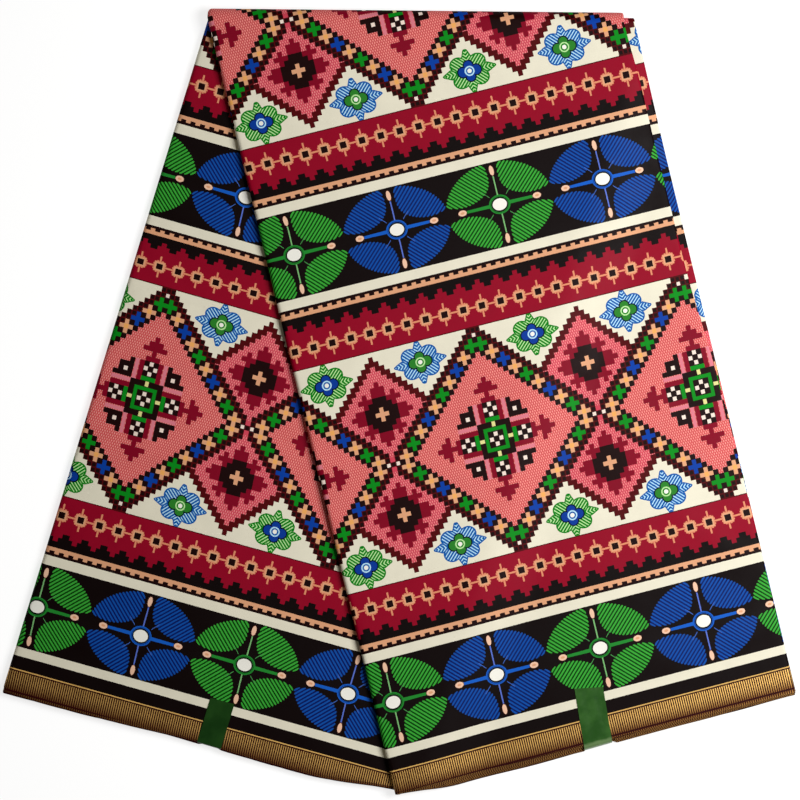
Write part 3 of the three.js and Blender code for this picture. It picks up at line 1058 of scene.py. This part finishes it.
def inner_section(leg, share):
    face = [(at, at, INNER) for at in spread(EDGE, STRIP - 1, FACE_COLUMNS)]
    return closed_edge(back_inset(leg, share), -1) + face


back_rows = rows_down("back", BACK_ROWS, 1.0, 0.0) + turn_rows(1.0, 0.46)[1:]
back_leaf = lay_grid("back_leaf_cloth", leaf_grid("back", back_rows, inner_section))
face_up(back_leaf, (0, 0, 1))
thicken(back_leaf, LEAF)
dress(back_leaf, cotton, ["back_leaf"])

# %% [markdown]
# ## The undersides
#
# The pile lies on its two outer leaves: one under the front flap, one under the back
# flap. They are as real as the leaves on top, for the cloth may be picked up and turned.


# %% Undersides
def flat_section(height, right):
    points = [(at, at, height) for at in spread(EDGE, right, UNDER_COLUMNS)]
    return lambda leg, share: points


UNDER_ROWS = 110
front_under_rows = rows_down("front", UNDER_ROWS, 1.0, 0.0) + turn_rows(0.0, 0.33)[1:]
front_under = lay_grid(
    "front_under_cloth", leaf_grid("back", front_under_rows, flat_section(INNER, STRIP - 2.2)))
face_up(front_under, (0, 0, -1))
thicken(front_under, LEAF)
dress(front_under, cotton, ["front_under_leaf"])


def back_under_section(leg, share):
    sunk = 0.6 * (1 - smooth(share, 0.6, 0.8)) if leg == "turn" else 0.0
    right = STRIP - LEDGE[0][1]
    return [(at, at, OUTER - sunk) for at in spread(EDGE, right, UNDER_COLUMNS)]


back_under_rows = rows_down("back", UNDER_ROWS, 1.0, 0.0) + turn_rows(1.0, 0.5)[1:]
back_under = lay_grid("back_under_cloth", leaf_grid("front", back_under_rows, back_under_section))
face_up(back_under, (0, 0, -1))
thicken(back_under, LEAF)
dress(back_under, cotton, ["back_under_leaf"])

# %% [markdown]
# ## The lower folds
#
# At the open edge the folds lie in two groups. The lower group stands out past the upper
# one near the crease, and shows there as a narrow ledge. It is a later fold of the same
# cloth, so its design is further along, and the folding has pulled it a little downwards.


# %% Lower folds at the open edge
def ledge_section(leg, share):
    width = from_table(LEDGE, share) if leg == "front" else LEDGE[0][1]
    top = MIDDLE - GAP / 2
    radius = (top - INNER) / 2
    face = [(at, at, top) for at in spread(STRIP - width - 4, STRIP - radius, 10)]
    return face + fold_edge(STRIP, top, INNER, 3)


LEDGE_AHEAD, LEDGE_PULLED = 95.5, 8.6  # millimetres of cloth


def later_fold(row):
    return [(place, (u + LEDGE_AHEAD, v + LEDGE_PULLED * smooth(v, 60, 260)))
            for place, (u, v) in row]


ledge_rows = rows_down("front", FRONT_ROWS, 1.0, 0.0) + turn_rows(0.0, 0.5)[1:]
ledge_grid = [later_fold(row) for row in leaf_grid("front", ledge_rows, ledge_section)]
ledge_leaf = lay_grid("ledge_leaf_cloth", ledge_grid)
face_up(ledge_leaf, (1, 0, 0))
thicken(ledge_leaf, LEAF)
dress(ledge_leaf, cotton, ["ledge_leaf"])

# %% [markdown]
# ## The pressed leaves inside
#
# Fourteen more leaves fill the pile. Pressed together they are one rounded body, so they
# are modelled as one: a tube whose section is round at the closed edge and has two soft
# groups of folds at the open edge. Near each selvedge it stops short, because there every
# leaf has an end of its own.


# %% Body of pressed leaves
BODY_IN, BODY_OUT = INNER + LEAF + 0.1, OUTER - LEAF - 0.1
END_STRIP = 22.0  # millimetres before a selvedge where every leaf is on its own
BACK_LENGTH = 560  # millimetres, between the lengths of the back flap's two edges
CORE_COLUMNS = 19


def body_ring(leg, share):
    """Closed ring of section points: closed edge, face, two groups of folds, underside."""
    width = from_table(LEDGE, share) if leg == "front" else LEDGE[0][1]
    radius, middle = (BODY_OUT - BODY_IN) / 2, (BODY_OUT + BODY_IN) / 2
    upper, lower = STRIP - width - 2.3, STRIP - 2.4
    notch = min(upper, lower) - 2.4
    top, low = MIDDLE + 0.35, MIDDLE - LEAF - 0.35
    ring = []
    for step in range(ARC_STEPS):
        angle = math.pi * (1 - step / ARC_STEPS)
        ring.append((EDGE - radius * math.sin(angle), middle + radius * math.cos(angle)))
    ring += [(at, BODY_OUT) for at in spread(EDGE, upper - 1.4, CORE_COLUMNS)]
    ring += [(upper - 0.4, BODY_OUT - 0.4), (upper, (BODY_OUT + top) / 2), (upper - 0.4, top)]
    ring += [(notch, top - 0.2), (notch, low + 0.2)]
    ring += [(lower - 0.5, low), (lower, (low + BODY_IN) / 2), (lower - 0.5, BODY_IN)]
    ring += [(at, BODY_IN) for at in spread(lower - 1.4, EDGE, CORE_COLUMNS)]
    return [(at, at, height) for at, height in ring]


front_stop = 1 - END_STRIP / FRONT_CLOSED[2]
back_stop = 1 - END_STRIP / BACK_LENGTH
body_rows = rows_down("front", 40, front_stop, 0.0) + turn_rows(0.0, 1.0)[1:]
body_rows += rows_down("back", 36, 0.0, back_stop)[1:]
body = lay_grid("pressed_leaves", leaf_grid("front", body_rows, body_ring))

deselect()
bpy.context.view_layer.objects.active = body
body.select_set(True)
bpy.ops.object.mode_set(mode="EDIT")
bpy.ops.mesh.select_all(action="SELECT")
bpy.ops.mesh.remove_doubles(threshold=0.02 * MM)
bpy.ops.mesh.select_mode(type="EDGE")
bpy.ops.mesh.select_all(action="DESELECT")
bpy.ops.mesh.select_non_manifold()
bpy.ops.mesh.fill()
bpy.ops.mesh.select_all(action="SELECT")
bpy.ops.mesh.normals_make_consistent(inside=False)
bpy.ops.object.mode_set(mode="OBJECT")
bpy.ops.object.shade_smooth_by_angle(angle=math.radians(50))
# The pressed leaves wear the darker cotton: painted shade on the pile's sides.
dress(body, shaded_edge_cotton, ["hidden_leaves"])

# %% [markdown]
# ## The ends of the leaves
#
# At both selvedges every leaf ends on its own, a little before or after the next, and the
# ends show as a fringe of fine edges. Each pair of leaves that share a fold at the closed
# edge is one strip: along the top, round the fold, and back below it. The strips nest
# inside each other.


# %% Fringe of leaf ends
END_ROWS = 5
STRAY = 2.6  # millimetres that a leaf end stands out past its even place
# Where a tape holds the ends even, as shares across the flap, and how far out they stand.
TAPED = {"front": (0.48, 0.54, 0.2), "back": (0.495, 0.545, 1.5)}


def pair_section(pair, width):
    radius = EDGE - pair * PITCH
    top, bottom = MIDDLE + radius, MIDDLE - radius
    right_top, right_low = STRIP - width - 1.2, STRIP - 1.2
    lower = [(at, at, bottom) for at in spread(right_low, EDGE, FACE_COLUMNS)][:-1]
    turn = []
    for step in range(1, ARC_STEPS):
        angle = math.pi * (1 - step / ARC_STEPS)
        across = EDGE - radius * math.sin(angle)
        turn.append((EDGE - radius * angle, across, MIDDLE + radius * math.cos(angle)))
    upper = [(at, at, top) for at in spread(EDGE, right_top, FACE_COLUMNS)]
    return lower + turn + upper


def close_below(leg, pair, height):
    """Is this one of the leaves close below the leaf that shows?"""
    return pair < 4 and (height > MIDDLE) == (leg == "front")


def end_wander(leg, pair, at, height):
    """How far a leaf end strays from its even place, in millimetres."""
    phase = pair * 2.4 + (1.7 if height > MIDDLE else 3.4)
    waves = 0.45 * math.sin(at / 37 + phase) + 0.3 * math.sin(at / 13 + phase * 3.1)
    evened = from_table(BACK_REACH, at / STRIP) * height / OUTER if leg == "back" else 0.0
    first, last, held = TAPED[leg]
    if first < at / STRIP < last:
        return evened + held
    if leg == "back":
        return waves + STRAY - 0.6 + evened
    return waves + (2.4 if close_below(leg, pair, height) else STRAY - 0.4)


def leaf_ends(name, leg, end, width):
    strips = []
    for pair in range(1, LEAVES // 2):
        grid = []
        for step in range(END_ROWS + 1):
            back = (END_STRIP + 2) * (1 - step / END_ROWS)
            row = []
            for point in pair_section(pair, width):
                run = flap_line(end, point[1] / STRIP)[2]
                stray = end_wander(leg, pair, point[1], point[2]) * step / END_ROWS
                place, (u, v) = spot(leg, leg, 1 - (back - stray) / run, point)
                # The back flap's leaf ends, and those of the pair just under the top leaf, are set on the
                # brown edge of the selvedge: painted shade.
                dark = leg == "back" or pair == 1
                row.append((place, (u + 0.3 * pair, back + (0.2 if dark else 2.2))))
            grid.append(row)
        strip = lay_grid(f"{name}_{pair}", grid)
        face_from_pile(strip)
        thicken(strip, LEAF * 0.8)
        strips.append(strip)
    deselect()
    for strip in strips:
        strip.select_set(True)
    bpy.context.view_layer.objects.active = strips[0]
    bpy.ops.object.join()
    strips[0].name = strips[0].data.name = name
    return strips[0]


def face_from_pile(strip):
    """Turns a strip's faces away from the middle of the pile."""
    mesh = strip.data
    top = max(mesh.polygons, key=lambda face: face.center.z)
    if top.normal.z < 0:
        mesh.flip_normals()


front_ends = leaf_ends("front_leaf_ends", "front", FRONT_END, LEDGE[-1][1])
# The leaf ends wear the darker cotton too: painted shade on the fringe.
dress(front_ends, shaded_edge_cotton, [])
back_ends = leaf_ends("back_leaf_ends", "back", BACK_END, LEDGE[0][1])
dress(back_ends, shaded_edge_cotton, [])

# %% [markdown]
# ## The seal tapes
#
# A strip of thin green film is stuck over each selvedge so that nobody can unfold the
# cloth unseen. It lies on the face, bends down over the leaf ends and runs back below.


# %% Film
def film_material(name, green, cloudy_green):
    material, tree, shader = new_material(name)
    where = tree.nodes.new("ShaderNodeTexCoord")
    cloudy = noise(tree, where.outputs["Object"], 70, 3)
    paint = Painter(tree, green)
    ramp = (cloudy - 0.4) * 3
    ramp = ramp.math("MAXIMUM", 0.0).math("MINIMUM", 1.0)
    paint.lay(ramp, cloudy_green)
    film_map = tree.nodes.new("ShaderNodeUVMap")
    film_map.uv_map = "print"
    split = tree.nodes.new("ShaderNodeSeparateXYZ")
    tree.links.new(film_map.outputs[0], split.inputs[0])
    # Past the ledge, where the front tape bends down over the leaf ends, the green is mixed towards pale
    # green: a painted highlight.
    past = Reading(tree, split.outputs[1]) / MM + (cloudy - 0.5) * 6
    paint.lay(((past + 2) * 0.3).math("MAXIMUM", 0.0).math("MINIMUM", 0.6), ink(130, 156, 108))
    tree.links.new(paint.colour, shader.inputs["Base Color"])
    streaks = noise(tree, where.outputs["Object"], 260, 2)
    gloss = streaks * 0.16 + 0.12
    tree.links.new(gloss.socket, shader.inputs["Roughness"])
    bump = tree.nodes.new("ShaderNodeBump")
    bump.inputs["Strength"].default_value = 0.25
    bump.inputs["Distance"].default_value = 0.0004
    tree.links.new((cloudy + streaks * 0.2).socket, bump.inputs["Height"])
    tree.links.new(bump.outputs[0], shader.inputs["Normal"])
    shader.inputs["Specular IOR Level"].default_value = 0.3
    shader.inputs["Coat Weight"].default_value = 0.25
    shader.inputs["Coat Roughness"].default_value = 0.08
    return material


# Both tapes are the same green film; the back tape's darker greens are painted shade.
front_film = film_material("front_film", ink(44, 84, 36), ink(66, 110, 52))
shaded_back_film = film_material("shaded_back_film", ink(26, 58, 24), ink(36, 72, 30))
FILM = 0.15


def tape_points(end, table, tape, on_outer):
    """Rows along the tape and columns across it, each a place in the pile's coordinates.
    The leaf that it lies on ends at ledge, and the longest leaf at tip."""
    first, last, lean, (face_first, face_last), under = tape
    held = TAPED["front" if on_outer else "back"][2]
    over, below = (OUTER + GAP, INNER - GAP / 2) if on_outer else (INNER - GAP, OUTER + GAP / 2)
    rows = []
    for step in range(13):
        across = mix(first, last, step / 12)
        face = mix(face_first, face_last, step / 12)
        length = flap_line(end, across)[2]
        reach = from_table(table, across)
        tip = length + reach + held + GAP * 2
        ledge = length + OVERHANG + GAP if on_outer else tip - 1.5
        bulge = (0.3 if on_outer else -0.3) * (1 + 0.6 * math.sin(step * 1.1))
        run = []
        for share in spread(0, 1, 16):
            run.append((mix(length - face, ledge, share), over + bulge * share * (1 - share) * 2))
        for turn in spread(0.1, 1, 9):
            angle = turn * math.pi / 2
            run.append((mix(ledge, tip, math.sin(angle)), mix(below, over, math.cos(angle) ** 0.8)))
        for back in spread(0.15, 1, 5):
            run.append((mix(tip, length - under, back), below))
        rows.append([
            (across + lean * (length - along) / 50, along / (length + reach * (1 - height / OUTER)),
             height, along - ledge if on_outer else -STRIP)
            for along, height in run])
    return rows


def tape_piece(name, leg, end, table, tape, film, node):
    grid = []
    for row in zip(*tape_points(end, table, tape, leg == "front")):
        line = []
        for across, share, height, past in row:
            place, level = SPOTS[leg](share, across, height)
            line.append(((place.x, place.y, level), (across * STRIP, past)))
        grid.append(line)
    piece = lay_grid(name, grid)
    face_up(piece, (0, 0, 1))
    thicken(piece, FILM, inward=False)
    dress(piece, film, [node])
    return piece


# Where a tape starts and stops across the flap, its lean, how far its two sides reach up the
# face, and how far it runs back below, in millimetres.
FRONT_TAPE = (0.471, 0.540, 0.011, (42, 38), 36)
BACK_TAPE = (0.488, 0.548, 0.0, (28, 28), 34)
tape_piece("front_tape_film", "front", FRONT_END, FRONT_REACH, FRONT_TAPE, front_film, "front_tape")
tape_piece("back_tape_film", "back", BACK_END, BACK_REACH, BACK_TAPE, shaded_back_film, "back_tape")

# %% [markdown]
# ## Floor and light
#
# The cloth lies on a plain white table, in the soft light of a studio. A large lamp hangs
# high up on the right, and a little light comes evenly from all round.

# %% Floor
deselect()
bpy.ops.mesh.primitive_plane_add(size=6, location=(0, 0, -0.0002))
floor = bpy.context.object
floor.name = "floor"
floor_material, _, floor_shader = new_material("white_table")
floor_shader.inputs["Base Color"].default_value = (0.35, 0.35, 0.35, 1)
floor_shader.inputs["Emission Color"].default_value = (1, 1, 1, 1)
floor_shader.inputs["Emission Strength"].default_value = 0.78
floor_shader.inputs["Roughness"].default_value = 0.7
floor.data.materials.append(floor_material)

# %% Light
world = bpy.data.worlds.new("studio")
bpy.context.scene.world = world
world.use_nodes = True
world.node_tree.nodes["Background"].inputs[0].default_value = (1.0, 0.93, 0.78, 1)
world.node_tree.nodes["Background"].inputs[1].default_value = 0.09


def lamp(name, place, aim, size, power):
    data = bpy.data.lights.new(name, "AREA")
    data.shape, (data.size, data.size_y), data.energy = "RECTANGLE", size, power
    light = bpy.data.objects.new(name, data)
    light.visible_camera = False
    bpy.context.scene.collection.objects.link(light)
    light.location = place
    light.rotation_euler = (Vector(aim) - Vector(place)).to_track_quat("-Z", "Y").to_euler()
    return light


lamp("key", (0.65, 0.08, 0.95), (0.1, 0, 0), (0.6, 0.6), 14.0)
bpy.context.scene.view_settings.view_transform = "Standard"
